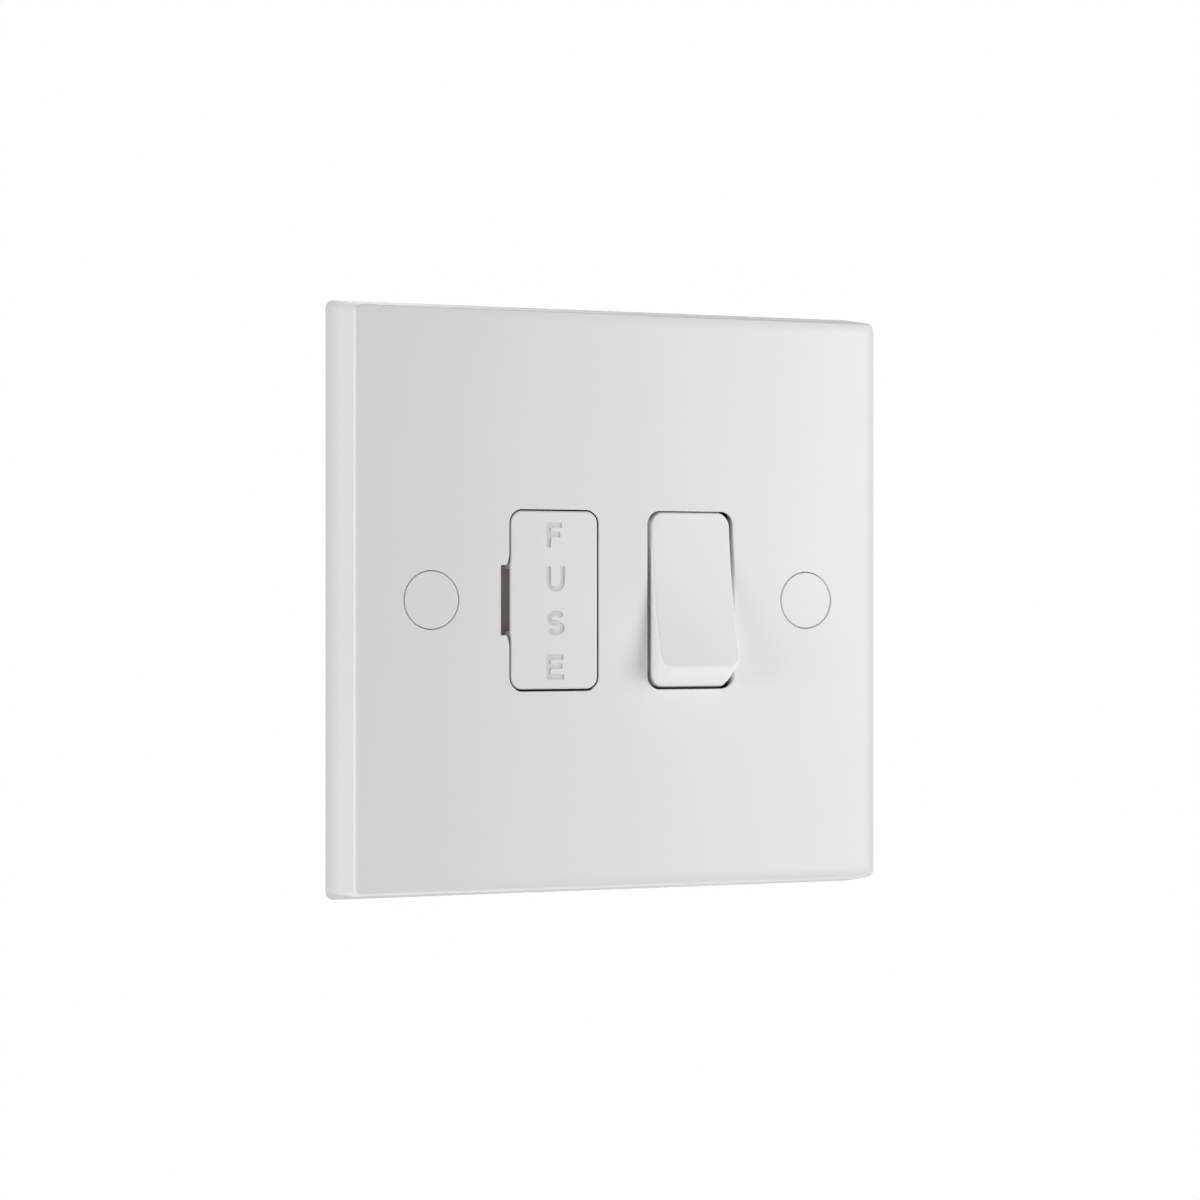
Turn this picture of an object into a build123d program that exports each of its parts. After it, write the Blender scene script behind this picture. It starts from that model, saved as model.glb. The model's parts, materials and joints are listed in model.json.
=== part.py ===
"""Switched fused connection unit: a white moulded single plate with a dished rocker, a pull-out fuse carrier,
two screw covers, and behind it the base with a double-pole switch, fuse clips and six wire terminals.

Millimetres. X is to the right seen from the front, Y goes into the wall and Z is up.
The origin is the centre of the plane where the plate's rim meets the wall.
The rocker is drawn in its off position, with its top pressed in.
"""

import os
from math import cos, radians, sin, sqrt

from build123d import *

# Front plate
plate_width = 86.0
plate_depth = 8.8
plate_draw_in = 1.2
plate_corner_r = 1.2
plate_edge_r = 0.35
front_wall = 2.2
skirt_wall = 2.0
inner_corner_r = 0.6
aperture_pitch = 22.0
aperture_width = 14.1
aperture_corner_r = 2.0
rim_bevel = 0.15
notch_height = 10.1
notch_depth = 1.35
notch_lead_width = 0.45
notch_lead_height = 1.85
notch_floor = 1.0
notch_floor_gap = 0.1
notch_floor_lap = 1.45

# Fixing to the wall box
fixing_pitch = 60.3
fixing_boss_r = 5.6
fixing_boss_setback = 0.8
fixing_hole_r = 2.1
fixing_screw_r = 1.75
fixing_neck_r = 1.5
fixing_screw_length = 25.0
fixing_head_r = 3.3
fixing_head_height = 2.0
fixing_rib_wall = 1.4
cap_r = 4.13
cap_disc = 1.2
cap_wall = 0.7
cap_gap = 0.12

# Rocker and its bearing
pivot_behind_face = 6.44
rocker_reach = 14.17
rocker_face_half = 11.46
rocker_dish_r = 85.0
rocker_tilt = 10.4
rocker_side_gap = 0.6
rocker_end_gap = 0.2
rocker_corner_r = 1.9
rocker_edge_r = 0.3
rocker_wall = 1.4
rocker_skin = 1.8
rocker_end_angle = 82.0
rocker_lip = 0.6
rocker_relief = 0.5
trunnion_r = 1.5
trunnion_clearance = 0.06
trunnion_grip = 1.1
bearing_wall = 1.6
bearing_half = 3.2
bearing_slot = 2.5
ear_r = 2.6

# Switch poles
pole_spacing = 7.6
plunger_r = 1.4
plunger_clearance = 0.1
plunger_seat = 1.0
plunger_tube_r = 2.4
plunger_tube_length = 5.4
plunger_gap = 0.2
spring_wire_r = 0.2
spring_gap = 0.02
spring_turns = 4
spring_wire_sides = 4
spring_pocket = 5.0
contact_width = 4.2
contact_thick = 0.8
contact_upper = 10.4
contact_lower = 7.0
contact_tilt = 8.5
contact_pin_r = 0.6
contact_pin_length = 0.9
contact_pin_clearance = 0.06
tip_r = 1.2
tip_height = 0.6
tip_place = 9.0
tip_gap = 0.15
cradle_wall = 0.8
cradle_gap = 0.2
cradle_half = 1.9

# Fuse and its carrier
fuse_length = 25.4
fuse_cap_r = 3.175
fuse_cap_length = 5.9
fuse_cap_wall = 0.25
fuse_cap_clearance = 0.025
fuse_end_room = 0.2
fuse_axis_behind_face = 7.3
carrier_gap = 0.22
carrier_thick = 2.4
carrier_edge_bevel = 0.2
carrier_pocket_margin = 0.55
carrier_pocket_depth = 1.1
carrier_pocket_lip = 0.6
grip_width = 9.8
grip_end_gap = 0.8
grip_past_axis = 0.9
grip_clearance = 0.1
clip_strip = 0.6
clip_clearance = 0.05
clip_height = 5.0
clip_arm_front = 3.0
clip_flare = 0.8
clip_base_gap = 0.2
clip_tail_width = 4.8

# Rear housing
flange_side_gap = 0.55
flange_margin = 1.6
flange_front = -0.5
flange_corner_r = 2.0
bay_side_gap = 0.25
bay_end_gap = 0.93
bay_rear = 12.0
bay_wall = 1.7
rear_wall = 2.0
housing_corner_r = 1.5
housing_edge_bevel = 0.6
core_slot = 1.4
pole_barrier = 0.8
pole_barrier_front = 2.0
post_r = 2.8
assembly_boss_r = 3.2
assembly_boss_rear = 4.5
assembly_screw_r = 1.4
assembly_head_r = 2.6
assembly_head_height = 1.8
assembly_grip = 5.0
assembly_clearance = 0.05
assembly_hole_r = 1.7
assembly_x = 3.2
strip_clearance = 0.1
cut_margin = 0.5

# Terminals
terminal_width = 7.5
terminal_length = 8.4
terminal_gap = 0.2
strip_thick = 0.8
earth_bridge = 1.6
wire_r = 2.2
wire_centre_y = 6.6
terminal_screw_r = 1.95
terminal_screw_clearance = 0.05
terminal_screw_length = 4.2
terminal_head_r = 2.7
terminal_head_height = 2.0
rib_wall = 1.2
rib_rear = 10.0
load_live_offset = 1.0
mains_spread = 1.6
load_neutral_offset = 0.6
earth_offset = 0.75
earth_pitch = 9.5

# Worked-out places
face_y = -plate_depth
inner_y = face_y + front_wall
face_width = plate_width - 2 * plate_draw_in
fuse_x = -aperture_pitch / 2
rocker_x = aperture_pitch / 2
pivot_y = face_y + pivot_behind_face
fuse_y = face_y + fuse_axis_behind_face
cap_recess_r = cap_r + cap_gap
cap_depth = cap_disc + fixing_head_height
cap_recess_depth = cap_depth + cap_gap
screw_seat_y = face_y + cap_recess_depth
boss_rear_y = -fixing_boss_setback
rocker_width = aperture_width - 2 * rocker_side_gap
rocker_half = rocker_width / 2
rocker_at_lip = sqrt(rocker_reach**2 - (pivot_behind_face - rocker_lip) ** 2)
rocker_aperture_height = 2 * (rocker_at_lip + rocker_end_gap)
carrier_width = aperture_width - 2 * carrier_gap
carrier_height = fuse_length + 2 * fuse_end_room
carrier_corner_r = aperture_corner_r - carrier_gap
carrier_pocket_height = notch_height - 2 * carrier_pocket_margin
fuse_aperture_height = carrier_height + 2 * carrier_gap
grip_height = fuse_length - 2 * (fuse_cap_length + grip_end_gap)
bay_half_width = aperture_width / 2 + bearing_wall + bay_side_gap
bay_half_height = rocker_reach + bay_end_gap
box_half_width = aperture_pitch / 2 + bay_half_width + bay_wall
box_half_height = bay_half_height + bay_wall
box_rear = bay_rear + rear_wall
terminal_z = box_half_height + terminal_gap + terminal_length / 2
flange_width = fixing_pitch - 2 * (fixing_boss_r + flange_side_gap)
flange_height = 2 * terminal_z + terminal_length + 2 * flange_margin
strip_front = bay_rear - strip_thick
pole_xs = {"live": rocker_x - pole_spacing / 2, "neutral": rocker_x + pole_spacing / 2}
contact_reach = (tip_place + tip_r) * sin(radians(contact_tilt))
contact_y = (
    strip_front - tip_height - tip_gap
    - contact_reach - (contact_thick / 2 + tip_height) * cos(radians(contact_tilt))
)
plunger_tip = contact_y - contact_thick / 2 - plunger_gap - pivot_y
rocker_face_front = sqrt(rocker_reach**2 - rocker_face_half**2)
rocker_dish = rocker_dish_r - sqrt(rocker_dish_r**2 - rocker_face_half**2)
plunger_bore_r = plunger_r + plunger_clearance
clip_half = fuse_cap_r + clip_clearance
clip_base_y = fuse_y + fuse_cap_r + clip_base_gap
clip_z = (fuse_length - fuse_cap_length) / 2
flange_rear = clip_base_y
load_live_x = fuse_x - load_live_offset
mains_live_x = pole_xs["live"] - mains_spread
mains_neutral_x = pole_xs["neutral"] + mains_spread
load_neutral_x = pole_xs["neutral"] + load_neutral_offset
earth_middle_x = fuse_x - earth_offset
earth_left_x = earth_middle_x - earth_pitch / 2
earth_right_x = earth_middle_x + earth_pitch / 2
screw_spots = [(-assembly_x, terminal_z), (assembly_x, -terminal_z)]

os.makedirs("parts", exist_ok=True)


def depth_plane(y):
    """Sketch plane at depth y: local x is X, local y is Z, and extrusions come towards the front."""
    return Plane.XZ.offset(-y)


def side_plane(x, y, angle):
    """Plane across X through (x, y, 0), whose local x points rearward, turned about X by angle degrees."""
    turn = radians(angle)
    return Plane(origin=(x, y, 0), x_dir=(0, cos(turn), sin(turn)), z_dir=(1, 0, 0))


def stem_plane(x, y, angle, ahead=0.0):
    """Plane across the rearward direction of side_plane, facing front, moved ahead of (x, y, 0)."""
    turn = radians(angle)
    front = Vector(0, -cos(turn), -sin(turn))
    return Plane(origin=Vector(x, y, 0) + front * ahead, x_dir=(1, 0, 0), z_dir=front)


def finish(piece, name):
    """Label a finished piece and write it as one STEP file."""
    piece.label = name
    export_step(piece, f"parts/{name}.step")


def plain_screw(head_r, head_height, shank_r, length, neck_r=None, neck_length=0.0):
    """Screw seated at the origin, its shank towards +Y and relieved at the neck if asked."""
    with BuildPart() as screw:
        with BuildSketch(depth_plane(length)):
            Circle(shank_r)
        extrude(amount=length)
        if neck_r:
            with BuildSketch(depth_plane(neck_length)):
                Circle(shank_r)
                Circle(neck_r, mode=Mode.SUBTRACT)
            extrude(amount=neck_length, mode=Mode.SUBTRACT)
        with BuildSketch(depth_plane(0)):
            Circle(head_r)
        extrude(amount=head_height)
    return screw.part


def notch_outline():
    """Lever notch beside the fuse aperture, with its sides easing out of the aperture's edge."""
    edge_x = fuse_x - aperture_width / 2
    lead_x = edge_x - notch_lead_width
    end_x = edge_x - notch_depth
    half = notch_height / 2
    far = half + notch_lead_height
    with BuildSketch() as notch:
        with BuildLine():
            Line((edge_x, -far), (edge_x, far))
            TangentArc((edge_x, far), (lead_x, half), tangent=(0, -1))
            Polyline((lead_x, half), (end_x, half), (end_x, -half), (lead_x, -half))
            TangentArc((edge_x, -far), (lead_x, -half), tangent=(0, 1))
        make_face()
    return notch.sketch


# Front plate: tapered square shell
with BuildPart() as front_plate:
    with BuildSketch(depth_plane(0)):
        RectangleRounded(plate_width, plate_width, plate_corner_r)
    with BuildSketch(depth_plane(face_y)):
        RectangleRounded(face_width, face_width, plate_corner_r)
    loft()
    fillet(front_plate.faces().sort_by(Axis.Y)[0].edges(), plate_edge_r)
    hollow_front = face_width + 2 * plate_draw_in * front_wall / plate_depth - 2 * skirt_wall
    with BuildSketch(depth_plane(0)):
        RectangleRounded(plate_width - 2 * skirt_wall, plate_width - 2 * skirt_wall, inner_corner_r)
    with BuildSketch(depth_plane(inner_y)):
        RectangleRounded(hollow_front, hollow_front, inner_corner_r)
    loft(mode=Mode.SUBTRACT)
    # Fixing bosses, each tied to the skirt by a rib
    rib_start = fixing_pitch / 2
    rib_end = plate_width / 2 - skirt_wall
    with BuildSketch(depth_plane(boss_rear_y)):
        with GridLocations(fixing_pitch, 0, 2, 1):
            Circle(fixing_boss_r)
        for side in (-1, 1):
            with Locations((side * (rib_start + rib_end) / 2, 0)):
                Rectangle(rib_end - rib_start, fixing_rib_wall)
    extrude(amount=boss_rear_y - inner_y)
    # Posts for the assembly screws
    with BuildSketch(depth_plane(flange_front)):
        with Locations(*screw_spots):
            Circle(post_r)
    extrude(amount=flange_front - inner_y)
    with BuildSketch(depth_plane(flange_front)):
        with Locations(*screw_spots):
            Circle(assembly_screw_r + assembly_clearance)
    extrude(amount=assembly_grip + assembly_clearance, mode=Mode.SUBTRACT)
    # Locating ribs above and below the housing
    with BuildSketch(depth_plane(inner_y + front_wall)):
        for side in (-1, 1):
            with Locations((0, side * (box_half_height + strip_clearance + rib_wall / 2))):
                Rectangle(2 * box_half_width, rib_wall)
    extrude(amount=front_wall)
    # Apertures for the rocker and the fuse carrier, with the lever notch beside the carrier
    with BuildSketch(depth_plane(inner_y)):
        with Locations((rocker_x, 0)):
            RectangleRounded(aperture_width, rocker_aperture_height, aperture_corner_r)
        with Locations((fuse_x, 0)):
            RectangleRounded(aperture_width, fuse_aperture_height, aperture_corner_r)
        add(notch_outline())
    extrude(amount=front_wall, mode=Mode.SUBTRACT)
    # Relief behind the rocker aperture's lip, where the rocker's ends swing
    with BuildSketch(depth_plane(inner_y)):
        with Locations((rocker_x, 0)):
            Rectangle(aperture_width, 2 * (rocker_reach + rocker_relief))
    extrude(amount=front_wall - rocker_lip, mode=Mode.SUBTRACT)
    # Blind floor behind the lever notch, joined to the plate round the notch and clear of the carrier
    floor_outer = fuse_x - bay_half_width + strip_clearance
    floor_inner = fuse_x - carrier_width / 2 + carrier_pocket_depth
    floor_foot = fuse_x - aperture_width / 2 - notch_lead_width
    floor_height = notch_height + 2 * notch_floor_lap
    floor_front = face_y + carrier_thick + notch_floor_gap
    with BuildSketch(depth_plane(floor_front)):
        with Locations(((floor_outer + floor_foot) / 2, 0)):
            Rectangle(floor_foot - floor_outer, floor_height)
        add(notch_outline(), mode=Mode.SUBTRACT)
    extrude(amount=floor_front - inner_y)
    with BuildSketch(depth_plane(floor_front + notch_floor)):
        with Locations(((floor_outer + floor_inner) / 2, 0)):
            Rectangle(floor_inner - floor_outer, floor_height)
    extrude(amount=notch_floor)
    # Screw recesses
    with Locations(depth_plane(face_y)):
        with GridLocations(fixing_pitch, 0, 2, 1):
            CounterBoreHole(fixing_hole_r, cap_recess_r, cap_recess_depth)
    front_face = front_plate.faces().filter_by(Plane.XZ).sort_by(Axis.Y)[0]
    chamfer(front_face.inner_wires().edges(), rim_bevel)
    # Snap-in bearings for the rocker's trunnions
    for side in (-1, 1):
        near = aperture_width / 2
        start = rocker_x + (near if side > 0 else -near - bearing_wall)
        with BuildSketch(Plane.YZ.offset(start)):
            with Locations(((inner_y + pivot_y) / 2, 0)):
                Rectangle(pivot_y - inner_y, 2 * bearing_half)
            with Locations((pivot_y, 0)):
                Circle(bearing_half)
                Circle(trunnion_r + trunnion_clearance, mode=Mode.SUBTRACT)
            with Locations((pivot_y + bearing_half / 2, 0)):
                Rectangle(bearing_half, bearing_slot, mode=Mode.SUBTRACT)
        extrude(amount=bearing_wall)
finish(front_plate.part, "front_plate")

# Screw covers: shallow cups that sit over the fixing screw heads
with BuildPart() as screw_caps:
    with BuildSketch(depth_plane(face_y + cap_depth)):
        with GridLocations(fixing_pitch, 0, 2, 1):
            Circle(cap_r)
    extrude(amount=cap_depth)
    with BuildSketch(depth_plane(face_y + cap_depth)):
        with GridLocations(fixing_pitch, 0, 2, 1):
            Circle(cap_r - cap_wall)
    extrude(amount=cap_depth - cap_disc, mode=Mode.SUBTRACT)
    chamfer(screw_caps.faces().sort_by(Axis.Y)[:2].edges(), rim_bevel)
finish(screw_caps.part, "screw_caps")

# Fixing screws: the shank is relieved where it passes through the plate
fixing_screw = plain_screw(
    fixing_head_r, fixing_head_height, fixing_screw_r, fixing_screw_length,
    fixing_neck_r, boss_rear_y + fixing_boss_setback / 2 - screw_seat_y,
)
with BuildPart() as fixing_screws:
    with Locations(*[Pos(side * fixing_pitch / 2, screw_seat_y, 0) for side in (-1, 1)]):
        add(fixing_screw)
finish(fixing_screws.part, "fixing_screws")

# Rear housing: open-fronted box on a flange, with pockets for the terminals
terminal_rows = {
    1: (load_live_x, mains_live_x, mains_neutral_x),
    -1: (earth_left_x, earth_right_x, load_neutral_x),
}
leg_slots = [(pole_xs["live"], 1), (pole_xs["neutral"], 1), (pole_xs["neutral"], -1)]
with BuildPart() as rear_housing:
    with BuildSketch(depth_plane(box_rear)):
        RectangleRounded(2 * box_half_width, 2 * box_half_height, housing_corner_r)
    extrude(amount=box_rear - inner_y)
    chamfer(rear_housing.faces().sort_by(Axis.Y)[-1].edges(), housing_edge_bevel)
    with BuildSketch(depth_plane(flange_rear)):
        RectangleRounded(flange_width, flange_height, flange_corner_r)
    extrude(amount=flange_rear - flange_front)
    # Walls between the terminals
    rib_length = flange_height / 2 - box_half_height - flange_corner_r
    with BuildSketch(depth_plane(rib_rear)):
        for row, places in terminal_rows.items():
            for x in places:
                for side in (-1, 1):
                    rib_x = x + side * (terminal_width / 2 + strip_clearance + rib_wall / 2)
                    with Locations((rib_x, row * (box_half_height + rib_length / 2))):
                        Rectangle(rib_wall, rib_length)
    extrude(amount=rib_rear - flange_rear)
    # Way through the ribs for the strip that joins the two earth blocks
    with BuildSketch(depth_plane(flange_rear + earth_bridge + strip_clearance)):
        with Locations((earth_middle_x, -terminal_z)):
            Rectangle(earth_pitch, terminal_length + 2 * strip_clearance)
    extrude(amount=earth_bridge + strip_clearance, mode=Mode.SUBTRACT)
    # Seats for the assembly screws
    with BuildSketch(depth_plane(assembly_boss_rear)):
        with Locations(*screw_spots):
            Circle(assembly_boss_r)
    extrude(amount=assembly_boss_rear - flange_rear)
    with BuildSketch(depth_plane(assembly_boss_rear)):
        with Locations(*screw_spots):
            Circle(assembly_hole_r)
    extrude(amount=assembly_boss_rear - flange_front, mode=Mode.SUBTRACT)
    # Fuse well, switch bay and the slot cored out between them
    with BuildSketch(depth_plane(bay_rear)):
        with GridLocations(aperture_pitch, 0, 2, 1):
            Rectangle(2 * bay_half_width, 2 * bay_half_height)
        Rectangle(core_slot, 2 * bay_half_height)
    extrude(amount=bay_rear - inner_y, mode=Mode.SUBTRACT)
    # Barrier between the two poles
    with BuildSketch(depth_plane(bay_rear)):
        with Locations((rocker_x, 0)):
            Rectangle(pole_barrier, 2 * bay_half_height)
    extrude(amount=bay_rear - pole_barrier_front)
    # Blocks that back the fuse clips
    with BuildSketch(depth_plane(bay_rear)):
        with Locations((fuse_x, clip_z)):
            Rectangle(2 * clip_half, clip_height)
    extrude(amount=bay_rear - clip_base_y - clip_strip)
    with BuildSketch(depth_plane(bay_rear)):
        with Locations((fuse_x, -clip_z)):
            Rectangle(2 * clip_half, clip_height)
    extrude(amount=bay_rear - clip_base_y - clip_strip - strip_thick)
    # Slots where contact legs and the upper fuse clip's tail leave the box
    slot_length = bay_wall + 2 * cut_margin
    for x, row in leg_slots:
        with BuildSketch(depth_plane(bay_rear)):
            with Locations((x, row * (bay_half_height + bay_wall / 2))):
                Rectangle(contact_width + 2 * strip_clearance, slot_length)
        extrude(amount=strip_thick + strip_clearance, mode=Mode.SUBTRACT)
    with BuildSketch(depth_plane(clip_base_y + clip_strip + strip_clearance)):
        with Locations((fuse_x, bay_half_height + bay_wall / 2)):
            Rectangle(clip_tail_width + 2 * strip_clearance, slot_length)
    extrude(amount=clip_strip + strip_clearance, mode=Mode.SUBTRACT)
    # Passage for the live link through the middle walls
    passage_width = aperture_pitch - 2 * bay_half_width + 2 * cut_margin
    with BuildSketch(depth_plane(bay_rear)):
        with Locations((0, -clip_z)):
            Rectangle(passage_width, clip_height + 2 * strip_clearance)
    extrude(amount=strip_thick + strip_clearance, mode=Mode.SUBTRACT)
finish(rear_housing.part, "rear_housing")

# Assembly screws, driven from the rear
assembly_screw = plain_screw(
    assembly_head_r, assembly_head_height, assembly_screw_r,
    assembly_boss_rear - flange_front + assembly_grip - assembly_clearance,
)
with BuildPart() as assembly_screws:
    with Locations(*[Location((x, assembly_boss_rear, z), (180, 0, 0)) for x, z in screw_spots]):
        add(assembly_screw)
finish(assembly_screws.part, "assembly_screws")

# Rocker: dished front, ends that are arcs about the pivot, hollow behind
rocker_side = side_plane(rocker_x, pivot_y, -rocker_tilt)
rocker_rear_at = rocker_reach * cos(radians(rocker_end_angle))
rocker_rear_half = rocker_reach * sin(radians(rocker_end_angle))


def rocker_profile(inset):
    """Side outline of the rocker, or of its hollow when inset by the skin and wall thickness."""
    skin = rocker_skin if inset else 0.0
    reach = rocker_reach - (rocker_wall if inset else 0.0)
    front = rocker_face_front - skin
    half = sqrt(reach**2 - front**2)
    rear = rocker_rear_at - (cut_margin if inset else 0.0)
    rear_half = sqrt(reach**2 - rear**2)
    with BuildSketch() as profile:
        with BuildLine():
            ThreePointArc((-front, -half), (-front + rocker_dish, 0), (-front, half))
            RadiusArc((-front, half), (-rear, rear_half), reach)
            Line((-rear, rear_half), (-rear, -rear_half))
            RadiusArc((-rear, -rear_half), (-front, -half), reach)
        make_face()
    return profile.sketch


with BuildPart() as rocker:
    with BuildSketch(rocker_side):
        add(rocker_profile(False))
    extrude(amount=rocker_half, both=True)
    end_faces = rocker.faces().filter_by(GeomType.CYLINDER).sort_by(SortBy.RADIUS)[:2]
    corners = end_faces.edges().filter_by(GeomType.CIRCLE)
    fillet(corners, rocker_corner_r)
    dish = rocker.faces().filter_by(GeomType.CYLINDER).sort_by(SortBy.RADIUS)[-1]
    fillet(dish.edges(), rocker_edge_r)
    with BuildSketch(rocker_side):
        add(rocker_profile(True))
    extrude(amount=rocker_half - rocker_wall, both=True, mode=Mode.SUBTRACT)
    # Ears that carry the trunnions
    for side in (-1, 1):
        with BuildSketch(rocker_side.offset(side * (rocker_half - rocker_wall / 2))):
            Circle(ear_r)
            with Locations((-rocker_rear_at / 2, 0)):
                Rectangle(rocker_rear_at, 2 * ear_r)
        extrude(amount=rocker_wall / 2, both=True)
        with BuildSketch(rocker_side.offset(side * rocker_half)):
            Circle(trunnion_r)
        extrude(amount=side * (rocker_side_gap + trunnion_grip))
    # Tubes for the plungers
    for x in pole_xs.values():
        with BuildSketch(stem_plane(x, pivot_y, -rocker_tilt, -plunger_tube_length)):
            Circle(plunger_tube_r)
        extrude(amount=plunger_tube_length + rocker_face_front - rocker_dish - rocker_skin / 2)
        with BuildSketch(stem_plane(x, pivot_y, -rocker_tilt, -plunger_tube_length)):
            Circle(plunger_bore_r)
        extrude(amount=plunger_tube_length + spring_pocket, mode=Mode.SUBTRACT)
finish(rocker.part, "rocker")

# One pole each for live and neutral: plunger, spring, seesaw contact and its tip
tip_offset = contact_thick / 2
for pole, x in pole_xs.items():
    with BuildPart() as plunger:
        with BuildSketch(side_plane(x, pivot_y, -rocker_tilt)):
            with BuildLine():
                Polyline((plunger_seat, 0), (plunger_seat, plunger_r), (plunger_tip - plunger_r, plunger_r))
                RadiusArc((plunger_tip - plunger_r, plunger_r), (plunger_tip, 0), plunger_r)
                Line((plunger_tip, 0), (plunger_seat, 0))
            make_face()
        revolve(axis=Axis((x, pivot_y, 0), side_plane(x, pivot_y, -rocker_tilt).x_dir))
    finish(plunger.part, f"{pole}_plunger")

    spring_foot = stem_plane(x, pivot_y, -rocker_tilt, spring_wire_r + spring_gap - plunger_seat)
    spring_height = spring_pocket + plunger_seat - 2 * (spring_wire_r + spring_gap)
    spring_pitch = spring_height / spring_turns
    with BuildPart() as spring:
        with BuildLine() as coil:
            Helix(
                spring_pitch, spring_height, plunger_r - spring_wire_r,
                center=spring_foot.origin, direction=spring_foot.z_dir,
            )
        with BuildSketch(Plane(origin=coil.line @ 0, z_dir=coil.line % 0)):
            RegularPolygon(spring_wire_r, spring_wire_sides)
        sweep()
    finish(spring.part, f"{pole}_spring")

    seesaw_side = side_plane(x, contact_y, contact_tilt)
    with BuildPart() as moving_contact:
        with BuildSketch(seesaw_side):
            with Locations((0, (contact_upper - contact_lower) / 2)):
                Rectangle(contact_thick, contact_upper + contact_lower)
        extrude(amount=contact_width / 2, both=True)
        corners = moving_contact.edges().filter_by(Axis((0, 0, 0), seesaw_side.x_dir))
        fillet(corners, contact_width / 4)
        for side in (-1, 1):
            with BuildSketch(seesaw_side.offset(side * contact_width / 2)):
                Circle(contact_pin_r)
            extrude(amount=side * contact_pin_length)
    finish(moving_contact.part, f"{pole}_moving_contact")

    with BuildPart() as moving_tip:
        rear_face = stem_plane(x, contact_y, contact_tilt, -tip_offset)
        with BuildSketch(rear_face):
            with Locations((0, tip_place)):
                Circle(tip_r)
        extrude(amount=-tip_height)
    finish(moving_tip.part, f"{pole}_moving_tip")

with BuildPart() as fixed_contact_tips:
    with BuildSketch(depth_plane(strip_front)):
        with Locations(*[(x, tip_place) for x in pole_xs.values()]):
            Circle(tip_r)
    extrude(amount=tip_height)
finish(fixed_contact_tips.part, "fixed_contact_tips")


def terminal_block(x, row, front):
    """Brass block behind depth front that holds one wire."""
    with BuildPart() as block:
        with BuildSketch(depth_plane(bay_rear)):
            with Locations((x, row * terminal_z)):
                Rectangle(terminal_width, terminal_length)
        extrude(amount=bay_rear - front)
    return block.part


def terminal_bores(x, row):
    """Wire bore along Z and the screw hole that meets it from the rear."""
    with BuildPart() as bores:
        with BuildSketch(Plane.XY.offset(row * terminal_z)):
            with Locations((x, wire_centre_y)):
                Circle(wire_r)
        extrude(amount=terminal_length, both=True)
        with BuildSketch(depth_plane(bay_rear)):
            with Locations((x, row * terminal_z)):
                Circle(terminal_screw_r + terminal_screw_clearance)
        extrude(amount=bay_rear - wire_centre_y)
    return bores.part


def contact_leg(x, row, inner_end):
    """Flat leg on the bay's rear wall, from a terminal block to inner_end on the Z axis."""
    outer_end = row * (terminal_z - terminal_length / 2)
    with BuildPart() as leg:
        with BuildSketch(depth_plane(bay_rear)):
            with Locations((x, (outer_end + inner_end) / 2)):
                Rectangle(contact_width, abs(outer_end - inner_end))
        extrude(amount=strip_thick)
    return leg.part


def seesaw_cradle(x):
    """Two notched cheeks on a base strip, which carry a seesaw's side pins."""
    near = contact_width / 2 + cradle_gap
    notch_r = contact_pin_r + contact_pin_clearance
    with BuildPart() as cradle:
        with BuildSketch(depth_plane(bay_rear)):
            with Locations((x, 0)):
                Rectangle(2 * (near + cradle_wall), 2 * cradle_half)
        extrude(amount=strip_thick)
        for start in (x - near - cradle_wall, x + near):
            with BuildSketch(Plane.YZ.offset(start)):
                with Locations(((contact_y + bay_rear) / 2, 0)):
                    Rectangle(bay_rear - contact_y, 2 * cradle_half)
                with Locations((contact_y, 0)):
                    Circle(notch_r, mode=Mode.SUBTRACT)
            extrude(amount=cradle_wall)
    return cradle.part


supply = {
    "mains_live_terminal": (mains_live_x, pole_xs["live"]),
    "mains_neutral_terminal": (mains_neutral_x, pole_xs["neutral"]),
}
for name, (block_x, pole_x) in supply.items():
    with BuildPart() as terminal:
        add(terminal_block(block_x, 1, flange_rear))
        add(contact_leg(pole_x, 1, tip_place - tip_r - tip_gap))
        add(terminal_bores(block_x, 1), mode=Mode.SUBTRACT)
    finish(terminal.part, name)

with BuildPart() as load_neutral_terminal:
    add(terminal_block(load_neutral_x, -1, flange_rear))
    add(contact_leg(pole_xs["neutral"], -1, 0))
    add(seesaw_cradle(pole_xs["neutral"]))
    add(terminal_bores(load_neutral_x, -1), mode=Mode.SUBTRACT)
finish(load_neutral_terminal.part, "load_neutral_terminal")

with BuildPart() as load_live_terminal:
    add(terminal_block(load_live_x, 1, clip_base_y + clip_strip))
    add(terminal_bores(load_live_x, 1), mode=Mode.SUBTRACT)
finish(load_live_terminal.part, "load_live_terminal")

with BuildPart() as earth_terminal:
    for x in (earth_left_x, earth_right_x):
        add(terminal_block(x, -1, flange_rear))
    with BuildSketch(depth_plane(flange_rear + earth_bridge)):
        with Locations((earth_middle_x, -terminal_z)):
            Rectangle(earth_pitch, terminal_length)
    extrude(amount=earth_bridge)
    for x in (earth_left_x, earth_right_x):
        add(terminal_bores(x, -1), mode=Mode.SUBTRACT)
finish(earth_terminal.part, "earth_terminal")

# Terminal screws, backed out of the wire bores
terminal_screw = plain_screw(terminal_head_r, terminal_head_height, terminal_screw_r, terminal_screw_length)
screw_tip_y = wire_centre_y + wire_r + terminal_gap
with BuildPart() as terminal_screws:
    for row, places in terminal_rows.items():
        for x in places:
            seat = (x, screw_tip_y + terminal_screw_length, row * terminal_z)
            with Locations(Location(seat, (180, 0, 0))):
                add(terminal_screw)
finish(terminal_screws.part, "terminal_screws")

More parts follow.
